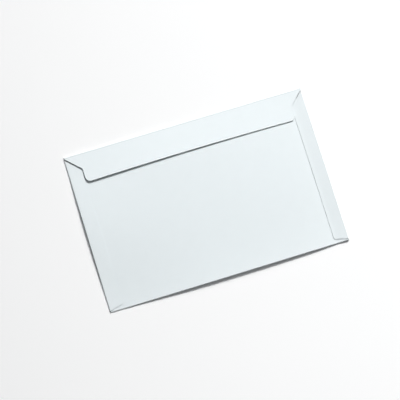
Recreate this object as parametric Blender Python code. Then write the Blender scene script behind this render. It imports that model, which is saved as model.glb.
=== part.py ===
"""Courier envelope of white board, folded and glued from one die-cut blank.

It lies on its back panel with the closing flap uppermost and folded shut. Units are
metres, +Z is up, X runs along the long edges and the closing flap hinges on the +Y edge.
The origin is the middle of the underside.

The blank is cut flat: the back panel has a strip on each short edge, the closing flap on
its top edge and the front panel on its bottom edge. The front panel folds up over the back
panel, the strips fold in over the front panel and are glued to it, and the flap folds down
between the strips. Under the flap lie its band of adhesive and the liner that peels off it.
"""

import math

import bmesh
import bpy
from mathutils import Matrix, Vector

# Envelope, measured over its folds
LENGTH = 0.265
HEIGHT = 0.172

# Board, and the room between its folded layers
BOARD = 0.0005
POCKET = 0.0004
GLUE_LINE = 0.0001
CLEARANCE = 0.0003

# Die-cut slit that parts each end of a side strip from the fold next to it. From there each end
# is one straight cut to the strip's inner edge.
CORNER_SLIT = 0.0003

# Side strips
STRIP_WIDTH = 0.0152
STRIP_FOOT_RISE = 0.0044
STRIP_FOOT_RADIUS = 0.0015
SEAM_MARGIN = 0.0025

# Front panel
FRONT_TOP_SETBACK = 0.010
FRONT_CORNER_RADIUS = 0.003

# Closing flap, which narrows from its hinge to its shoulders so as to lie between the strips.
# Its depth is to the corners of its free edge, which is hollow between them.
FLAP_DEPTH = 0.0322
FLAP_SHOULDER_DROP = 0.0169
FLAP_SHOULDER_RADIUS = 0.0015
FLAP_CORNER_RADIUS = 0.0058
FLAP_EDGE_HOLLOW = 0.0012
MITRE_GAP = 0.0011

# Self-adhesive closure
ADHESIVE_THICKNESS = 0.0002
ADHESIVE_WIDTH = 0.012
ADHESIVE_EDGE_INSET = 0.0045
ADHESIVE_END_INSET = 0.008
ADHESIVE_CORNER_RADIUS = 0.002
LINER_THICKNESS = 0.0001
LINER_OVERHANG = 0.0015
LINER_CORNER_RADIUS = 0.0008

# Fineness of the round stretches, and the distance below which two places are one
FOLD_SEGMENTS = 8
CORNER_SEGMENTS = 6
HOLLOW_SEGMENTS = 6
SAME_PLACE = 1e-6

# Height of each folded layer above the back panel, middle of board to middle of board
FRONT_RISE = BOARD + POCKET
STRIP_RISE = FRONT_RISE + BOARD + GLUE_LINE
CLOSURE_ROOM = CLEARANCE + LINER_THICKNESS + CLEARANCE + ADHESIVE_THICKNESS + CLEARANCE
FLAP_RISE = FRONT_RISE + BOARD + CLOSURE_ROOM


class Fold:
    """A half-turn fold that brings the board back over the back panel.

    outward is the direction in which the flat board crosses the fold, reach is how far
    the finished fold stands from the origin, and rise is the height of the layer above
    the back panel. The middle of the board keeps its length round the bend.
    """

    def __init__(self, outward, reach, rise):
        self.outward = Vector(outward)
        self.radius = rise / 2
        self.length = math.pi * self.radius
        self.start = reach - BOARD / 2 - self.radius
        self.end = self.start + self.length

    def unfolded(self, place):
        """How far out on the flat blank a point lies that ends up at place once folded."""
        return self.end + self.start - place

    def wrapped(self, point):
        """The folded place of a point of the flat blank, whose mid-plane is z = 0."""
        distance = point.dot(self.outward)
        turned = min(distance, self.end) - self.start
        angle = turned / self.radius
        beyond = distance - self.start - turned
        arm = self.radius - point.z
        place = self.start + arm * math.sin(angle) - beyond
        height = self.radius - arm * math.cos(angle)
        along = point - self.outward * distance
        return Vector((along.x, along.y, 0)) + self.outward * place + Vector((0, 0, height))


RIGHT = Fold((1, 0, 0), LENGTH / 2, STRIP_RISE)
LEFT = Fold((-1, 0, 0), LENGTH / 2, STRIP_RISE)
BOTTOM = Fold((0, -1, 0), HEIGHT / 2, FRONT_RISE)
TOP = Fold((0, 1, 0), HEIGHT / 2, FLAP_RISE)

# Edges of the folded panels that more than one piece lines up with
STRIP_INNER_X = LENGTH / 2 - STRIP_WIDTH
STRIP_TOP_Y = TOP.start - CORNER_SLIT
STRIP_BOTTOM_Y = CORNER_SLIT - BOTTOM.start
FLAP_SHOULDER_Y = HEIGHT / 2 - FLAP_SHOULDER_DROP
FLAP_SIDE_X = STRIP_INNER_X - CLEARANCE
FLAP_LOW_Y = HEIGHT / 2 - FLAP_DEPTH
STRIP_HEAD_Y = FLAP_SHOULDER_Y - MITRE_GAP
STRIP_FOOT_Y = STRIP_BOTTOM_Y + STRIP_FOOT_RISE
FRONT_TOP_Y = HEIGHT / 2 - FRONT_TOP_SETBACK
FRONT_FACE_Z = FRONT_RISE + BOARD


def rounded(corners):
    """Outline through corners of (x, y, radius), with an arc at each that has a radius."""
    points = []
    for index, (x, y, radius) in enumerate(corners):
        corner = Vector((x, y))
        if radius == 0:
            points.append(corner)
            continue
        before = (Vector(corners[index - 1][:2]) - corner).normalized()
        after = (Vector(corners[(index + 1) % len(corners)][:2]) - corner).normalized()
        half_angle = before.angle(after) / 2
        centre = corner + (before + after).normalized() * radius / math.sin(half_angle)
        first = corner + before * radius / math.tan(half_angle) - centre
        last = corner + after * radius / math.tan(half_angle) - centre
        sweep = first.angle_signed(last)
        for step in range(CORNER_SEGMENTS + 1):
            turn = Matrix.Rotation(-sweep * step / CORNER_SEGMENTS, 2)
            points.append(centre + turn @ first)
    return points


def blank_corners():
    """Corners of the flat blank, up its right side and down its left.

    The bottom fold and the flap's hinge run the whole length. The front panel is narrower,
    so that it fits between the side folds. The flap's free edge is slightly hollow.
    """
    strip_edge = RIGHT.unfolded(STRIP_INNER_X)
    right = [
        (RIGHT.start, -BOTTOM.unfolded(-FRONT_TOP_Y), FRONT_CORNER_RADIUS),
        (RIGHT.start, -BOTTOM.end, 0),
        (LENGTH / 2, -BOTTOM.end, 0),
        (LENGTH / 2, -BOTTOM.start, 0),
        (RIGHT.start, -BOTTOM.start, 0),
        (RIGHT.start, STRIP_BOTTOM_Y, 0),
        (strip_edge, STRIP_FOOT_Y, STRIP_FOOT_RADIUS),
        (strip_edge, STRIP_HEAD_Y, 0),
        (RIGHT.start, STRIP_TOP_Y, 0),
        (RIGHT.start, TOP.start, 0),
        (LENGTH / 2, TOP.start, 0),
        (LENGTH / 2, TOP.end, 0),
        (FLAP_SIDE_X, TOP.unfolded(FLAP_SHOULDER_Y), FLAP_SHOULDER_RADIUS),
        (FLAP_SIDE_X, TOP.unfolded(FLAP_LOW_Y), FLAP_CORNER_RADIUS),
    ]
    for step in range(HOLLOW_SEGMENTS):
        share = 1 - (step + 1) / (HOLLOW_SEGMENTS + 1)
        hollow = FLAP_EDGE_HOLLOW * (1 - share ** 2)
        right.append((FLAP_SIDE_X * share, TOP.unfolded(FLAP_LOW_Y + hollow), 0))
    left = [(-x, y, radius) for x, y, radius in reversed(right)]
    return right + left


def plate(name, outline, low, high):
    """A flat plate with the given outline, between two heights."""
    shape = bmesh.new()
    base = shape.faces.new([shape.verts.new((x, y, high)) for x, y in outline])
    shape.normal_update()
    if base.normal.z < 0:
        base.normal_flip()
    top_and_sides = bmesh.ops.extrude_face_region(shape, geom=[base], use_keep_orig=True)
    lowered = [item for item in top_and_sides["geom"] if isinstance(item, bmesh.types.BMVert)]
    bmesh.ops.translate(shape, verts=lowered, vec=(0, 0, low - high))
    bmesh.ops.recalc_face_normals(shape, faces=shape.faces)
    mesh = bpy.data.meshes.new(name)
    shape.to_mesh(mesh)
    shape.free()
    thing = bpy.data.objects.new(name, mesh)
    bpy.context.scene.collection.objects.link(thing)
    return thing


def rectangle(low_x, high_x, low_y, high_y, radius):
    return rounded(
        [
            (low_x, low_y, radius),
            (high_x, low_y, radius),
            (high_x, high_y, radius),
            (low_x, high_y, radius),
        ]
    )


def fold_beyond(point):
    """The fold that a point of the flat blank lies beyond, or None on the back panel."""
    if point.y > TOP.start + SAME_PLACE:
        return TOP
    if point.y < -BOTTOM.start - SAME_PLACE:
        return BOTTOM
    if not STRIP_BOTTOM_Y - SAME_PLACE < point.y < STRIP_TOP_Y + SAME_PLACE:
        return None
    if point.x > RIGHT.start + SAME_PLACE:
        return RIGHT
    if point.x < -LEFT.start - SAME_PLACE:
        return LEFT
    return None


def fold_up(thing):
    """Cuts the flat blank across each fold and wraps it, then sets it down on z = 0."""
    shape = bmesh.new()
    shape.from_mesh(thing.data)
    for fold in (RIGHT, LEFT, BOTTOM, TOP):
        for step in range(FOLD_SEGMENTS + 1):
            distance = fold.start + fold.length * step / FOLD_SEGMENTS
            bmesh.ops.bisect_plane(
                shape,
                geom=shape.verts[:] + shape.edges[:] + shape.faces[:],
                dist=SAME_PLACE,
                plane_co=fold.outward * distance,
                plane_no=fold.outward,
            )
    for vertex in shape.verts:
        fold = fold_beyond(vertex.co)
        if fold:
            vertex.co = fold.wrapped(vertex.co)
    bmesh.ops.translate(shape, verts=shape.verts, vec=(0, 0, BOARD / 2))
    shape.to_mesh(thing.data)
    shape.free()


def glue_seams(envelope):
    """Joins each side strip to the front panel with the dried glue between them."""
    low_x = STRIP_INNER_X + SEAM_MARGIN
    high_x = RIGHT.start - SEAM_MARGIN
    low_y = STRIP_FOOT_Y + SEAM_MARGIN
    high_y = STRIP_HEAD_Y - SEAM_MARGIN
    low_z = BOARD / 2 + FRONT_RISE
    high_z = BOARD / 2 + STRIP_RISE
    for side, edges in (("right", (low_x, high_x)), ("left", (-high_x, -low_x))):
        outline = rectangle(*edges, low_y, high_y, 0)
        seam = plate(f"seam_{side}", outline, low_z, high_z)
        seam.hide_render = True
        seam.display_type = "WIRE"
        join = envelope.modifiers.new(f"Seam {side}", "BOOLEAN")
        join.operation = "UNION"
        join.solver = "EXACT"
        join.object = seam


def finish(thing, name, colour, roughness):
    material = bpy.data.materials.new(name)
    material.use_nodes = True
    shader = material.node_tree.nodes["Principled BSDF"]
    shader.inputs["Base Color"].default_value = (*colour, 1)
    shader.inputs["Roughness"].default_value = roughness
    shader.inputs["Metallic"].default_value = 0
    thing.data.materials.append(material)


def make_board_envelope():
    """The whole folded card: back panel, front panel, two side strips and closing flap."""
    envelope = plate("board_envelope", rounded(blank_corners()), -BOARD / 2, BOARD / 2)
    fold_up(envelope)
    glue_seams(envelope)
    envelope.data.shade_smooth()
    envelope.data.set_sharp_from_angle(angle=math.radians(40))
    finish(envelope, "Coated white board", (0.80, 0.86, 0.88), 0.5)


def make_closure():
    """The adhesive band under the flap, and the peel-off liner between it and the front panel."""
    half_length = FLAP_SIDE_X - ADHESIVE_END_INSET
    low_y = FLAP_LOW_Y + ADHESIVE_EDGE_INSET
    high_y = low_y + ADHESIVE_WIDTH
    liner_low = FRONT_FACE_Z + CLEARANCE
    liner_high = liner_low + LINER_THICKNESS
    band_low = liner_high + CLEARANCE
    band_high = band_low + ADHESIVE_THICKNESS

    band = rectangle(-half_length, half_length, low_y, high_y, ADHESIVE_CORNER_RADIUS)
    adhesive = plate("adhesive_strip", band, band_low, band_high)
    finish(adhesive, "Hot-melt adhesive", (0.78, 0.72, 0.55), 0.25)

    over = LINER_OVERHANG
    strip = rectangle(
        -half_length - over, half_length + over, low_y - over, high_y + over, LINER_CORNER_RADIUS
    )
    liner = plate("release_liner", strip, liner_low, liner_high)
    finish(liner, "Siliconised paper", (0.82, 0.80, 0.72), 0.35)


for old in list(bpy.data.objects):
    bpy.data.objects.remove(old)
make_board_envelope()
make_closure()
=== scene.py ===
"""Board courier envelope, lying flap side up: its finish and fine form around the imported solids.

Units are metres, in the frame of the solids: X along the long edges, +Y towards the closing
flap's hinge, Z up from the surface that the envelope lies on.
"""

import math

import bmesh
import bpy
from mathutils import Matrix, Vector


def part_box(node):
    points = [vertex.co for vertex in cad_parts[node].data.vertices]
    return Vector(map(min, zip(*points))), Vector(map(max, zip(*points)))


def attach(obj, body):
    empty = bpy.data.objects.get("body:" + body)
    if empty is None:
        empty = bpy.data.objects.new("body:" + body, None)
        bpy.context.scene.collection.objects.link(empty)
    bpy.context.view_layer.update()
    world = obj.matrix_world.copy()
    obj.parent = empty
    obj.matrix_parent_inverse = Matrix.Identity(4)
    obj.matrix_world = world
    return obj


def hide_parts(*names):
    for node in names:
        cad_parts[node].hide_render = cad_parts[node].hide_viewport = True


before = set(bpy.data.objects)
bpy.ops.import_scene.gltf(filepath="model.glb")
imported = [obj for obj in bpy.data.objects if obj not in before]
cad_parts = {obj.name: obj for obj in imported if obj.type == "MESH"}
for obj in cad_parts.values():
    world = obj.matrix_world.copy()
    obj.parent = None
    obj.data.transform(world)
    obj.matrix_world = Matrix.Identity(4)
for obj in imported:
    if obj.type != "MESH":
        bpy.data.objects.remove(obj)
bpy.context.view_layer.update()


# Folded board
# The envelope is one blank of bleached solid board, clay coated on its outer side, die cut and
# creased. The front panel folds up over the back panel, the strips fold in over the front panel
# and are glued to it, and the closing flap folds down between the strips.
low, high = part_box("board_envelope")
LENGTH = high.x - low.x
HEIGHT = high.y - low.y
BOARD = 0.0005
FRONT_RISE = 0.0009
STRIP_RISE = 0.0015
FLAP_RISE = high.z - low.z - BOARD

CORNER_SLIT = 0.0003
STRIP_WIDTH = 0.0152
STRIP_FOOT_RISE = 0.0044
STRIP_FOOT_RADIUS = 0.0015
FRONT_TOP_SETBACK = 0.010
FRONT_CORNER_RADIUS = 0.003
FLAP_DEPTH = 0.0322
FLAP_SHOULDER_DROP = 0.0169
FLAP_SHOULDER_RADIUS = 0.0015
FLAP_CORNER_RADIUS = 0.0058
FLAP_EDGE_HOLLOW = 0.0012
FLAP_SIDE_GAP = 0.0003
FLAP_OFF_CENTRE = 0.0005
MITRE_GAP = 0.0011

CORNER_STEPS = 10
HOLLOW_STEPS = 12
FOLD_STEPS = 20
MESH_STEP = 0.0042
SAME_PLACE = 1e-6
FOLD_ROUNDNESS = 0.28


class Fold:
    """A half-turn fold, creased twice, so that its profile is round but nearly square. outward
    is the way the flat board crosses it, reach how far out the finished fold stands, and rise
    the height of its upper layer over the back panel."""

    def __init__(self, outward, reach, rise):
        self.outward = Vector(outward)
        self.radius = rise / 2
        self.length = math.pi * self.radius
        self.start = reach - BOARD / 2 - self.radius
        self.end = self.start + self.length

    def unfolded(self, place):
        """How far out on the flat blank the board lies that ends up over place."""
        return self.end + self.start - place

    def climbed(self, point):
        """Share of its rise that the board has climbed at a point of the flat blank."""
        turn = min(max((point.dot(self.outward) - self.start) / self.length, 0), 1)
        over = math.cos(math.pi * turn)
        return (1 - math.copysign(abs(over) ** FOLD_ROUNDNESS, over)) / 2

    def wrapped(self, point):
        """Where a point of the flat blank lies once this fold is made."""
        distance = point.dot(self.outward)
        turn = min(distance, self.end) - self.start
        out = math.sin(math.pi * turn / self.length)
        place = self.start + self.radius * max(out, 0) ** FOLD_ROUNDNESS
        place -= distance - self.start - turn
        height = 2 * self.radius * self.climbed(point)
        return point + self.outward * (place - distance) + Vector((0, 0, height))


right_fold = Fold((1, 0, 0), LENGTH / 2, STRIP_RISE)
left_fold = Fold((-1, 0, 0), LENGTH / 2, STRIP_RISE)
bottom_fold = Fold((0, -1, 0), HEIGHT / 2, FRONT_RISE)
top_fold = Fold((0, 1, 0), HEIGHT / 2, FLAP_RISE)

strip_inner_x = LENGTH / 2 - STRIP_WIDTH
strip_top_y = top_fold.start - CORNER_SLIT
strip_bottom_y = CORNER_SLIT - bottom_fold.start
flap_shoulder_y = HEIGHT / 2 - FLAP_SHOULDER_DROP
flap_side_x = strip_inner_x - FLAP_SIDE_GAP
flap_low_y = HEIGHT / 2 - FLAP_DEPTH
strip_head_y = flap_shoulder_y - MITRE_GAP
strip_foot_y = strip_bottom_y + STRIP_FOOT_RISE
front_top_y = HEIGHT / 2 - FRONT_TOP_SETBACK


def rounded(corners):
    """Outline through corners of (x, y, radius), with an arc at each that has a radius."""
    points = []
    for index, (x, y, radius) in enumerate(corners):
        corner = Vector((x, y))
        if radius == 0:
            points.append(corner)
            continue
        before = (Vector(corners[index - 1][:2]) - corner).normalized()
        after = (Vector(corners[(index + 1) % len(corners)][:2]) - corner).normalized()
        half_angle = before.angle(after) / 2
        centre = corner + (before + after).normalized() * radius / math.sin(half_angle)
        first = corner + before * radius / math.tan(half_angle) - centre
        last = corner + after * radius / math.tan(half_angle) - centre
        sweep = first.angle_signed(last)
        for step in range(CORNER_STEPS + 1):
            points.append(centre + Matrix.Rotation(-sweep * step / CORNER_STEPS, 2) @ first)
    return points


def flap_hollow(x):
    """How far the flap's free edge draws in from its corners' line at a place along it."""
    return FLAP_EDGE_HOLLOW * (1 - min(abs(x) / flap_side_x, 1) ** 2)


def blank_outline():
    """The die-cut outline, half of it from bottom to top and then mirrored."""
    strip_edge = right_fold.unfolded(strip_inner_x)
    right_side = [
        (right_fold.start, -bottom_fold.unfolded(-front_top_y), FRONT_CORNER_RADIUS),
        (right_fold.start, -bottom_fold.end, 0),
        (LENGTH / 2, -bottom_fold.end, 0),
        (LENGTH / 2, -bottom_fold.start, 0),
        (right_fold.start, -bottom_fold.start, 0),
        (right_fold.start, strip_bottom_y, 0),
        (strip_edge, strip_foot_y, STRIP_FOOT_RADIUS),
        (strip_edge, strip_head_y, 0),
        (right_fold.start, strip_top_y, 0),
        (right_fold.start, top_fold.start, 0),
        (LENGTH / 2, top_fold.start, 0),
        (LENGTH / 2, top_fold.end, 0),
        (flap_side_x, top_fold.unfolded(flap_shoulder_y), FLAP_SHOULDER_RADIUS),
        (flap_side_x, top_fold.unfolded(flap_low_y), FLAP_CORNER_RADIUS),
    ]
    for step in range(HOLLOW_STEPS):
        x = flap_side_x * (1 - (step + 1) / (HOLLOW_STEPS + 1))
        right_side.append((x, top_fold.unfolded(flap_low_y + flap_hollow(x)), 0))
    left_side = [(-x, y, radius) for x, y, radius in reversed(right_side)]
    return rounded(right_side + left_side)


# The blank is cut across where it will bend: close together round each crease and beside each
# edge that stands proud, and further apart over the panels.
LIP_PLACES = (0.00012, 0.0004, 0.0009, 0.0016, 0.0027)


def evenly(first, last):
    steps = math.ceil(abs(last - first) / MESH_STEP)
    return [first + (last - first) * step / steps for step in range(steps + 1)]


def across(fold):
    return [fold.start + fold.length * step / FOLD_STEPS for step in range(FOLD_STEPS + 1)]


def beside(place, side):
    return [place + side * lip for lip in LIP_PLACES]


def crossing_places():
    """How far from the middle the blank is cut across: to either side, upwards and downwards."""
    strip_edge = right_fold.unfolded(strip_inner_x)
    flap_edge = top_fold.unfolded(flap_low_y)
    front_edge = bottom_fold.unfolded(-front_top_y)
    under_strip = evenly(strip_inner_x, right_fold.start - LIP_PLACES[-1])
    half = evenly(0, flap_side_x - LIP_PLACES[-1]) + beside(flap_side_x, -1) + under_strip
    half += beside(right_fold.start, -1) + across(right_fold) + beside(right_fold.end, 1)
    half += [right_fold.unfolded(place) for place in under_strip]
    half += beside(strip_edge, -1)
    up = evenly(0, top_fold.start - LIP_PLACES[-1]) + beside(top_fold.start, -1)
    up += across(top_fold) + beside(top_fold.end, 1) + beside(flap_edge, -1)
    up += evenly(top_fold.end + LIP_PLACES[-1], flap_edge - LIP_PLACES[-1])
    down = evenly(0, bottom_fold.start - LIP_PLACES[-1]) + beside(bottom_fold.start, -1)
    down += across(bottom_fold) + beside(bottom_fold.end, 1)
    down += evenly(bottom_fold.end + LIP_PLACES[-1], front_edge - LIP_PLACES[-1])
    return half, up, down


# How the board stands off flat, on top of its even layers. The creases spring back, so the
# pocket opens between its pressed corners and below its pressed top. The back panel bows a little
# along the bottom and left folds, and the front panel slopes down to the left fold.
CORNER_PRESS = 0.00045
POCKET_OPEN = 0.0014
TOP_PRESS_SHARE = 0.6
TOP_PRESS_LOW_Y = 0.025
BACK_SPRING = 0.0004
BOTTOM_BULGE = 0.0002
BOTTOM_BULGE_REACH = 0.030
LEFT_SLOPE_DROP = 0.0010
LEFT_SLOPE_REACH = 0.020

# The front panel dips along the right strip, most of all at its foot, and the right fold springs
# up beyond it. Both strips are pressed a little into the front panel.
STRIP_DIP = 0.0006
STRIP_DIP_REACH = 0.018
STRIP_DIP_FADE = 0.8
RIGHT_EDGE_SPRING = 0.0009
SEAM_PRESS = 0.00008
SEAM_DENT = 0.0001
SEAM_DENT_REACH = 0.0015

# The hinge is pressed flat, and the flap rises from it to lie on the open pocket.
HINGE_LIFT = -0.0012
FREE_EDGE_LIFT_LEFT = 0.0005
FREE_EDGE_LIFT_RIGHT = -0.0006

# The bottom fold runs a little askew, so the left corner is drawn in. Free edges and the bottom
# crease curl up, and close to each crease the clay shows crazing and is greyed with painted shade.
CORNER_DRAW = 0.0009
LIP = 0.00007
LIP_REACH = 0.0008
CREASE_REACH = 0.0002


def smooth(value):
    value = min(max(value, 0), 1)
    return value * value * (3 - 2 * value)


# Where the bottom fold is open, in shares of its length from the left. It is fully open from
# OPEN_FROM on, closes in part from CLOSING_FROM on, and closes more near the right corner.
OPEN_FROM = 0.45
CLOSING_FROM = 0.6
CLOSING = 0.4
CORNER_CLOSING_FROM = 0.9
CORNER_CLOSING = 0.3


def bottom_open(x):
    """How far the bottom fold has sprung open along its length, from 0 to 1."""
    share = x / LENGTH + 0.5
    right_end = 1 - CLOSING * smooth((share - CLOSING_FROM) / (1 - CLOSING_FROM))
    right_end -= CORNER_CLOSING * smooth((share - CORNER_CLOSING_FROM) / (1 - CORNER_CLOSING_FROM))
    return smooth(share / OPEN_FROM) * right_end


def left_open(y):
    """How far the left fold has sprung open along its length, from 0 to 1."""
    return (1 - min(abs(y) / (HEIGHT / 2), 1) ** 2) ** 2


def back_lift(x, y):
    """How far the back panel stands off flat."""
    from_bottom = y + HEIGHT / 2
    from_left = x + LENGTH / 2
    bottom = bottom_open(x) * math.exp(-from_bottom / BOTTOM_BULGE_REACH)
    left = left_open(y) * math.exp(-from_left / LEFT_SLOPE_REACH)
    return BACK_SPRING * (bottom + left)


def front_lift(x, y):
    """How far the front panel and the strips on it stand off flat."""
    from_bottom = y + HEIGHT / 2
    from_left = x + LENGTH / 2
    opened = 1 - (1 - bottom_open(x)) * (1 - left_open(y) * (1 - from_left / LENGTH))
    pressed = max((y - TOP_PRESS_LOW_Y) / (front_top_y - TOP_PRESS_LOW_Y), 0)
    opened *= 1 - TOP_PRESS_SHARE * min(pressed, 1) ** 4
    pocket = (CORNER_PRESS + POCKET_OPEN) * opened - CORNER_PRESS
    bulge = BOTTOM_BULGE * bottom_open(x) * math.exp(-from_bottom / BOTTOM_BULGE_REACH)
    slope = LEFT_SLOPE_DROP * left_open(y) * (1 - math.exp(-from_left / LEFT_SLOPE_REACH))
    dip = STRIP_DIP * math.exp(-((x - strip_inner_x) / STRIP_DIP_REACH) ** 2)
    dip *= smooth(STRIP_DIP_FADE - y / HEIGHT)
    edge = RIGHT_EDGE_SPRING * smooth((x - strip_inner_x) / STRIP_WIDTH)
    return back_lift(x, y) + pocket + bulge + slope - dip + edge


def seam_dent(x):
    """How far the glued strips dent the front panel beside their edges."""
    return SEAM_DENT * math.exp(-max(strip_inner_x - abs(x), 0) / SEAM_DENT_REACH)


def flap_lift(x, y):
    """How far the flap stands off flat, between its pressed hinge and its free edge."""
    along = smooth((x + flap_side_x) / (2 * flap_side_x))
    down = min(max((HEIGHT / 2 - y) / FLAP_DEPTH, 0), 1)
    free_edge = front_lift(x, flap_low_y) + FREE_EDGE_LIFT_LEFT
    free_edge += (FREE_EDGE_LIFT_RIGHT - FREE_EDGE_LIFT_LEFT) * along
    return HINGE_LIFT * (1 - down) + free_edge * down


def lip(distance):
    """How far the board curls up at a distance from a free edge or the bottom crease."""
    return LIP * math.exp(-abs(distance) / LIP_REACH)


def lifted(flat, fold, point):
    """Adds what the board stands off flat to a wrapped point, and the lips beside its edges."""
    x, y = point.x, point.y
    point.y += CORNER_DRAW * (0.5 - x / LENGTH) ** 3 * (0.5 - y / HEIGHT)
    if fold is None:
        return point + Vector((0, 0, back_lift(x, y)))
    share = fold.climbed(flat)
    if fold is top_fold:
        point.x += FLAP_OFF_CENTRE * share
        upper = flap_lift(x, y)
        edge = y - flap_low_y - flap_hollow(x)
        if y < flap_shoulder_y:
            edge = min(edge, flap_side_x - abs(x))
        upper += lip(max(edge, 0))
    else:
        upper = front_lift(x, y)
        if fold is bottom_fold:
            upper += lip(y + HEIGHT / 2 - BOARD) - seam_dent(x)
        else:
            upper -= SEAM_PRESS + SEAM_DENT
    return point + Vector((0, 0, back_lift(x, y) * (1 - share) + upper * share))


def fold_beyond(point):
    """The fold that a point of the flat blank lies past, or None on the back panel."""
    if point.y > top_fold.start + SAME_PLACE:
        return top_fold
    if point.y < -bottom_fold.start - SAME_PLACE:
        return bottom_fold
    if not strip_bottom_y - SAME_PLACE < point.y < strip_top_y + SAME_PLACE:
        return None
    if point.x > right_fold.start + SAME_PLACE:
        return right_fold
    if point.x < -left_fold.start - SAME_PLACE:
        return left_fold
    return None


def fold_board():
    """The middle of the board as one sheet, cut across, wrapped round its folds and lifted."""
    sheet = bmesh.new()
    blank = sheet.faces.new([sheet.verts.new((*place, 0)) for place in blank_outline()])
    sheet.normal_update()
    if blank.normal.z > 0:
        blank.normal_flip()
    half, up, down = crossing_places()
    for direction, places in (
        (Vector((1, 0, 0)), half),
        (Vector((-1, 0, 0)), half),
        (Vector((0, 1, 0)), up),
        (Vector((0, -1, 0)), down),
    ):
        for place in sorted(places):
            bmesh.ops.bisect_plane(
                sheet,
                geom=sheet.verts[:] + sheet.edges[:] + sheet.faces[:],
                dist=SAME_PLACE,
                plane_co=direction * place,
                plane_no=direction,
            )
    # Crease mask: where the coating shows crazing and where the board is greyed with painted shade
    # near its creases.
    crease = sheet.verts.layers.float.new("crease")
    for vertex in sheet.verts:
        flat = vertex.co.copy()
        fold = fold_beyond(flat)
        for each in (right_fold, left_fold, bottom_fold, top_fold):
            nearest = abs(flat.dot(each.outward) - (each.start + each.end) / 2) - each.length / 2
            vertex[crease] = max(vertex[crease], math.exp(-max(nearest, 0) / CREASE_REACH))
        vertex.co = lifted(flat, fold, fold.wrapped(flat) if fold else flat)
    bmesh.ops.translate(sheet, verts=sheet.verts, vec=(0, 0, BOARD / 2))
    mesh = bpy.data.meshes.new("folded_board")
    sheet.to_mesh(mesh)
    sheet.free()
    mesh.shade_smooth()
    board = bpy.data.objects.new("folded_board", mesh)
    bpy.context.scene.collection.objects.link(board)
    return board


def linear(hex_colour):
    """An sRGB hex colour as the linear values that a shader takes."""
    channels = [int(hex_colour[place:place + 2], 16) / 255 for place in (1, 3, 5)]
    return [c / 12.92 if c <= 0.04045 else ((c + 0.055) / 1.055) ** 2.4 for c in channels] + [1]


def add_node(material, kind, settings=(), links=()):
    """Adds a node. settings sets its properties and inputs, links joins its inputs to outputs."""
    node = material.node_tree.nodes.new("ShaderNode" + kind)
    for name, value in dict(settings).items():
        if isinstance(name, str) and hasattr(node, name):
            setattr(node, name, value)
        else:
            node.inputs[name].default_value = value
    for name, output in dict(links).items():
        material.node_tree.links.new(output, node.inputs[name])
    return node


def new_material(name):
    """An empty node material, its Principled BSDF and its Texture Coordinate node."""
    material = bpy.data.materials.new(name)
    material.use_nodes = True
    return material, material.node_tree.nodes["Principled BSDF"], add_node(material, "TexCoord")


def join(material, output, socket):
    material.node_tree.links.new(output, socket)


# Coated side: bleached sulphate board, blade coated with white clay and calendered. The eye
# gets a smooth satin white, a little cool from its optical brightener, with a faint cloudiness
# from how the fibres lie and a fine calendered grain. Round the creases the clay shows a fine
# crazing, which takes its satin away, and its colour is greyed there as painted shade that
# darkens the fold edges. The crazing is drawn coarser than it is.
COATING_HEX = "#E9F0F2"
COATING_DENSE_HEX = "#E6EDEF"
COATING_ROUGHNESS = (0.68, 0.78)
COATING_IOR = 1.5
CLOUD_SIZE = 0.011
GRAIN_SIZE = 0.0009
CRAZING_SIZE = 0.0006
# The grey of the painted shade that darkens the board at its creases.
CREASE_SHADE_HEX = "#D8DEE0"
STRETCHED_ROUGHNESS = 0.85


def make_coated_side():
    material, shader, place = new_material("clay_coated_board")
    cloud = add_node(
        material, "TexNoise",
        {"Scale": 1 / CLOUD_SIZE, "Detail": 3, "Roughness": 0.6},
        {"Vector": place.outputs["Object"]},
    )
    tone = add_node(
        material, "MixRGB",
        {"Color1": linear(COATING_HEX), "Color2": linear(COATING_DENSE_HEX)},
        {"Fac": cloud.outputs["Fac"]},
    )
    grain = add_node(
        material, "TexNoise",
        {"Scale": 1 / GRAIN_SIZE, "Detail": 2, "Roughness": 0.5},
        {"Vector": place.outputs["Object"]},
    )
    crease = add_node(material, "Attribute", {"attribute_name": "crease"})
    crazing = add_node(
        material, "TexNoise",
        {"Scale": 1 / CRAZING_SIZE, "Detail": 4, "Roughness": 0.7},
        {"Vector": place.outputs["Object"]},
    )
    crazing_and_crease_shade = add_node(
        material, "Math",
        {"operation": "MULTIPLY"},
        {0: crease.outputs["Fac"], 1: crazing.outputs["Fac"]},
    )
    # Painted shade: the board's colour greys towards its creases, darkening the fold edges.
    crease_shaded = add_node(
        material, "MixRGB",
        {"Color2": linear(CREASE_SHADE_HEX)},
        {"Fac": crazing_and_crease_shade.outputs["Value"], "Color1": tone.outputs["Color"]},
    )
    join(material, crease_shaded.outputs["Color"], shader.inputs["Base Color"])
    satin = add_node(
        material, "MapRange",
        {"To Min": COATING_ROUGHNESS[0], "To Max": COATING_ROUGHNESS[1]},
        {"Value": grain.outputs["Fac"]},
    )
    rough = add_node(
        material, "MapRange",
        {"To Max": STRETCHED_ROUGHNESS},
        {"Value": crazing_and_crease_shade.outputs["Value"], "To Min": satin.outputs["Result"]},
    )
    join(material, rough.outputs["Result"], shader.inputs["Roughness"])
    height = add_node(
        material, "Math",
        {"operation": "ADD"},
        {0: grain.outputs["Fac"], 1: crazing_and_crease_shade.outputs["Value"]},
    )
    relief = add_node(
        material, "Bump",
        {"Strength": 0.25, "Distance": 0.00001},
        {"Height": height.outputs["Value"]},
    )
    join(material, relief.outputs["Normal"], shader.inputs["Normal"])
    shader.inputs["IOR"].default_value = COATING_IOR
    return material


# Bare side: the same board uncoated, as it comes off the machine. It is matt and a shade darker,
# and its matted fibres show as a fine mottle, drawn coarser than it is.
BARE_HEX = "#DFE2E2"
BARE_DARK_HEX = "#D4D8D8"
FIBRE_SIZE = 0.0012


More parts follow.
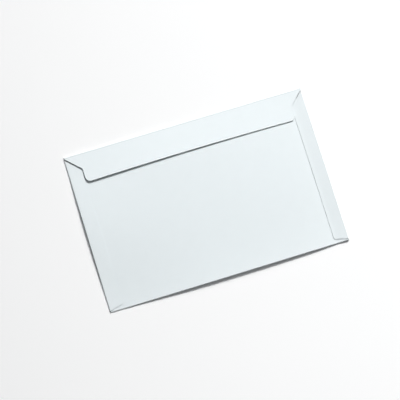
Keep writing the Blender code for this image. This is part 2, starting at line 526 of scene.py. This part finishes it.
def make_bare_side():
    material, shader, place = new_material("uncoated_board")
    fibres = add_node(
        material, "TexNoise",
        {"Scale": 1 / FIBRE_SIZE, "Detail": 4, "Roughness": 0.65},
        {"Vector": place.outputs["Object"]},
    )
    tone = add_node(
        material, "MixRGB",
        {"Color1": linear(BARE_HEX), "Color2": linear(BARE_DARK_HEX)},
        {"Fac": fibres.outputs["Fac"]},
    )
    join(material, tone.outputs["Color"], shader.inputs["Base Color"])
    shader.inputs["Roughness"].default_value = 0.8
    return material


# Die-cut edge: the plies of fibre laid bare by the cutting rule, matt, and greyed as painted shade
# that deepens the shadow lines along the cut edges and damps the light they throw back.
CUT_EDGE_SHADE_HEX = "#B8BCBE"
CUT_EDGE_DEEP_SHADE_HEX = "#A7ABAD"
PLY_SIZE = 0.0006
EDGE_SOFTNESS = 0.00007


def make_cut_edge():
    material, shader, place = new_material("die_cut_board_edge")
    plies = add_node(
        material, "TexNoise",
        {"Scale": 1 / PLY_SIZE, "Detail": 3, "Roughness": 0.6},
        {"Vector": place.outputs["Object"]},
    )
    # Painted shade: the cut edge is greyed well below the white of the board, with a mottle of
    # plies over it.
    tone = add_node(
        material, "MixRGB",
        {"Color1": linear(CUT_EDGE_SHADE_HEX), "Color2": linear(CUT_EDGE_DEEP_SHADE_HEX)},
        {"Fac": plies.outputs["Fac"]},
    )
    join(material, tone.outputs["Color"], shader.inputs["Base Color"])
    shader.inputs["Roughness"].default_value = 0.85
    return material


board = fold_board()
for side in (make_coated_side(), make_bare_side(), make_cut_edge()):
    board.data.materials.append(side)
thick = board.modifiers.new("Board thickness", "SOLIDIFY")
thick.thickness = BOARD
thick.offset = 0
thick.use_even_offset = True
thick.use_rim = True
thick.material_offset = 1
thick.material_offset_rim = 2
softened = board.modifiers.new("Softened cut edge", "BEVEL")
softened.width = EDGE_SOFTNESS
softened.segments = 2
softened.limit_method = "ANGLE"
softened.angle_limit = math.radians(50)
softened.harden_normals = True
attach(board, "root")
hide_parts("board_envelope")


# Closure
# Under the flap a band of pressure-sensitive hot melt is laid on hot from a slot nozzle, and a
# strip of siliconised glassine paper covers it until it is peeled off. Both hang on the flap, a
# hair apart, and follow its slope.
ADHESIVE_THICKNESS = 0.0002
ADHESIVE_WIDTH = 0.012
ADHESIVE_EDGE_INSET = 0.0045
ADHESIVE_END_INSET = 0.008
ADHESIVE_CORNER_RADIUS = 0.002
ADHESIVE_WANDER = 0.0002
ADHESIVE_EDGE_ROUNDING = 0.00007
ADHESIVE_CELL = 0.0015
LINER_THICKNESS = 0.0001
LINER_OVERHANG = 0.0015
LINER_CORNER_RADIUS = 0.0008
LINER_COCKLE = 0.00003
LINER_CELL = 0.002
HAIR = 0.00001

# The lengths of the two waves in which an edge wanders, and of the two in which paper cockles.
WANDER_WAVE = 0.0042
WANDER_SWELL = 0.0179
COCKLE_WAVE = 0.0061
COCKLE_SWELL = 0.023

flap_under_z = FLAP_RISE
band_end_x = flap_side_x - ADHESIVE_END_INSET
band_low_y = flap_low_y + ADHESIVE_EDGE_INSET
band_high_y = band_low_y + ADHESIVE_WIDTH


def hang_strip(name, top, thickness, radius, cell, over=0, wander=0, cockle=0):
    """A thin strip under the flap, cut into cells. over is how far it reaches past the band,
    wander how far its long edges stray and cockle how much it waves up and down."""
    end, low_y, high_y = band_end_x + over, band_low_y - over, band_high_y + over
    outline = rounded([
        (-end, low_y, radius),
        (end, low_y, radius),
        (end, high_y, radius),
        (-end, high_y, radius),
    ])
    sheet = bmesh.new()
    sheet.faces.new([sheet.verts.new((*place, 0)) for place in outline])
    for direction, reach in ((Vector((1, 0, 0)), end), (Vector((0, 1, 0)), high_y)):
        first = -end if direction.x else low_y
        steps = math.ceil((reach - first) / cell)
        for step in range(1, steps):
            bmesh.ops.bisect_plane(
                sheet,
                geom=sheet.verts[:] + sheet.edges[:] + sheet.faces[:],
                dist=SAME_PLACE,
                plane_co=direction * (first + (reach - first) * step / steps),
                plane_no=direction,
            )
    middle_y = (low_y + high_y) / 2
    for vertex in sheet.verts:
        x, y = vertex.co.x, vertex.co.y
        outward = (y - middle_y) / (high_y - middle_y)
        y += wander * outward * math.sin(x / WANDER_WAVE) * math.sin(x / WANDER_SWELL + 1)
        wave = cockle * math.sin(x / COCKLE_WAVE + 2 * outward) * math.sin(x / COCKLE_SWELL)
        height = top - thickness / 2 - abs(wave) + flap_lift(x, y)
        vertex.co = (x + FLAP_OFF_CENTRE, y, height)
    sheet.normal_update()
    mesh = bpy.data.meshes.new(name)
    sheet.to_mesh(mesh)
    sheet.free()
    mesh.shade_smooth()
    strip = bpy.data.objects.new(name, mesh)
    bpy.context.scene.collection.objects.link(strip)
    thick = strip.modifiers.new("Thickness", "SOLIDIFY")
    thick.thickness = thickness
    thick.offset = 0
    thick.use_even_offset = True
    return strip


# Hot melt: rubber and resin, pale amber and clear enough for light to sink in. The nozzle leaves
# fine lines along it and the cooled face is glossy.
HOT_MELT_HEX = "#E6DCB8"
HOT_MELT_DEEP_HEX = "#DCCB98"
NOZZLE_LINE = 0.0005
DRAWN_OUT = 0.04


def make_hot_melt():
    material, shader, place = new_material("pressure_sensitive_hot_melt")
    drawn_out = add_node(
        material, "Mapping",
        {"Scale": (DRAWN_OUT, 1, 1)},
        {"Vector": place.outputs["Object"]},
    )
    lines = add_node(
        material, "TexNoise",
        {"Scale": 1 / NOZZLE_LINE, "Detail": 3, "Roughness": 0.55},
        {"Vector": drawn_out.outputs["Vector"]},
    )
    tone = add_node(
        material, "MixRGB",
        {"Color1": linear(HOT_MELT_HEX), "Color2": linear(HOT_MELT_DEEP_HEX)},
        {"Fac": lines.outputs["Fac"]},
    )
    join(material, tone.outputs["Color"], shader.inputs["Base Color"])
    relief = add_node(
        material, "Bump",
        {"Strength": 0.5, "Distance": 0.00003},
        {"Height": lines.outputs["Fac"]},
    )
    join(material, relief.outputs["Normal"], shader.inputs["Normal"])
    shader.inputs["Roughness"].default_value = 0.2
    shader.inputs["IOR"].default_value = 1.5
    shader.inputs["Subsurface Weight"].default_value = 0.3
    shader.inputs["Subsurface Scale"].default_value = 0.0005
    return material


# Liner: supercalendered glassine with a silicone film. It is smooth, off-white, slightly see
# through like greaseproof paper, and mottled where its fibres bunch.
LINER_HEX = "#E9E5D6"
LINER_MOTTLE_HEX = "#DDD8C6"
MOTTLE_SIZE = 0.0025


def make_liner_paper():
    material, shader, place = new_material("siliconised_glassine")
    mottle = add_node(
        material, "TexNoise",
        {"Scale": 1 / MOTTLE_SIZE, "Detail": 5, "Roughness": 0.6},
        {"Vector": place.outputs["Object"]},
    )
    tone = add_node(
        material, "MixRGB",
        {"Color1": linear(LINER_HEX), "Color2": linear(LINER_MOTTLE_HEX)},
        {"Fac": mottle.outputs["Fac"]},
    )
    join(material, tone.outputs["Color"], shader.inputs["Base Color"])
    relief = add_node(
        material, "Bump",
        {"Strength": 0.3, "Distance": 0.00001},
        {"Height": mottle.outputs["Fac"]},
    )
    join(material, relief.outputs["Normal"], shader.inputs["Normal"])
    shader.inputs["Roughness"].default_value = 0.3
    shader.inputs["IOR"].default_value = 1.43
    return material


band_top = flap_under_z - HAIR
band = hang_strip(
    "hot_melt_band", band_top, ADHESIVE_THICKNESS, ADHESIVE_CORNER_RADIUS, ADHESIVE_CELL,
    wander=ADHESIVE_WANDER,
)
band.data.materials.append(make_hot_melt())
rounding = band.modifiers.new("Rounded edge", "BEVEL")
rounding.width = ADHESIVE_EDGE_ROUNDING
rounding.segments = 2
rounding.limit_method = "ANGLE"
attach(band, "root")
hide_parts("adhesive_strip")

liner_top = band_top - ADHESIVE_THICKNESS - HAIR
liner = hang_strip(
    "liner_paper", liner_top, LINER_THICKNESS, LINER_CORNER_RADIUS, LINER_CELL,
    over=LINER_OVERHANG, cockle=LINER_COCKLE,
)
liner.data.materials.append(make_liner_paper())
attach(liner, "root")
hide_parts("release_liner")


# Floor
# A plain sheet of photographic backdrop paper under the envelope. The camera sees it pure white,
# and the envelope gets the light of the paper's own tone from it.
FLOOR_HEX = "#E6E6E6"
FLOOR_SEEN = 1.0
FLOOR_SIZE = 2
FLOOR_TOP = -0.00005


def looking(material):
    """1 for a ray that sees the background: the camera's, or one off gloss or through glass."""
    ray = add_node(material, "LightPath")
    direct = add_node(
        material, "Math",
        {"operation": "MAXIMUM"},
        {0: ray.outputs["Is Camera Ray"], 1: ray.outputs["Is Glossy Ray"]},
    )
    through = add_node(
        material, "Math",
        {"operation": "MAXIMUM"},
        {0: direct.outputs["Value"], 1: ray.outputs["Is Transmission Ray"]},
    )
    return through.outputs["Value"]


bpy.ops.mesh.primitive_plane_add(size=FLOOR_SIZE, location=(0, 0, FLOOR_TOP))
floor = bpy.context.object
floor.name = "floor"
paper, paper_shader, _ = new_material("backdrop_paper")
paper_tone = add_node(
    paper, "MixRGB",
    {"Color1": linear(FLOOR_HEX), "Color2": [FLOOR_SEEN] * 3 + [1]},
    {"Fac": looking(paper)},
)
join(paper, paper_tone.outputs["Color"], paper_shader.inputs["Base Color"])
paper_shader.inputs["Roughness"].default_value = 0.9
paper_shader.inputs["Specular IOR Level"].default_value = 0
floor.data.materials.append(paper)


# Light
# A soft box with a grid and a wide diffuser round it stand above the top right of the picture.
# They are aimed past the envelope's lower right, so their light falls off towards its left. Each
# has its width, its watts and the angle that it spreads its light over. An even white room fills
# the shadows.
LAMP_TURN = math.radians(59)
LAMP_HEIGHT = math.radians(38)
LAMP_DISTANCE = 5
LAMP_AIM = Vector((0.20, -0.50, 0))
LAMPS = (
    ("soft_box", 0.72, 13.35, math.radians(44)),
    ("diffuser", 3.4, 140, math.pi),
)
ROOM_LEVEL = 0.155
ROOM_COLOUR = (0.97, 1.0, 1.02, 1)

lamp_place = LAMP_DISTANCE * Vector((
    math.cos(LAMP_TURN) * math.cos(LAMP_HEIGHT),
    math.sin(LAMP_TURN) * math.cos(LAMP_HEIGHT),
    math.sin(LAMP_HEIGHT),
))
for name, size, watts, spread in LAMPS:
    lamp = bpy.data.objects.new(name, bpy.data.lights.new(name, "AREA"))
    lamp.data.shape = "DISK"
    lamp.data.size = size
    lamp.data.energy = watts
    lamp.data.spread = spread
    lamp.location = lamp_place
    lamp.rotation_euler = (lamp_place - LAMP_AIM).to_track_quat("Z", "Y").to_euler()
    lamp.visible_camera = False
    bpy.context.scene.collection.objects.link(lamp)

room = bpy.data.worlds.new("white_room")
room.use_nodes = True
bpy.context.scene.world = room
wall = room.node_tree.nodes["Background"]
level = add_node(
    room, "MapRange",
    {"To Min": ROOM_LEVEL, "To Max": 1},
    {"Value": looking(room)},
)
wall_tone = add_node(
    room, "MixRGB",
    {"Color1": ROOM_COLOUR, "Color2": (1, 1, 1, 1)},
    {"Fac": looking(room)},
)
join(room, wall_tone.outputs["Color"], wall.inputs["Color"])
join(room, level.outputs["Result"], wall.inputs["Strength"])
bpy.context.scene.view_settings.view_transform = "Standard"


# Camera
# It looks down almost squarely on the envelope, which lies turned by about 17 degrees.
CAMERA_AIM = Vector((-0.0071, 0.0010, 0.002))
CAMERA_DISTANCE = 1.488
CAMERA_AZIMUTH = math.radians(-42.32)
CAMERA_ELEVATION = math.radians(81.99)
CAMERA_ROLL = math.radians(25.18)
CAMERA_LENS = 126

camera = bpy.data.objects.new("camera", bpy.data.cameras.new("camera"))
back = Vector((
    math.sin(CAMERA_AZIMUTH) * math.cos(CAMERA_ELEVATION),
    -math.cos(CAMERA_AZIMUTH) * math.cos(CAMERA_ELEVATION),
    math.sin(CAMERA_ELEVATION),
))
camera.data.lens = CAMERA_LENS
camera.location = CAMERA_AIM + back * CAMERA_DISTANCE
level_camera = back.to_track_quat("Z", "Y").to_matrix()
camera.rotation_euler = (level_camera @ Matrix.Rotation(CAMERA_ROLL, 3, "Z")).to_euler()
bpy.context.scene.collection.objects.link(camera)
bpy.context.scene.camera = camera
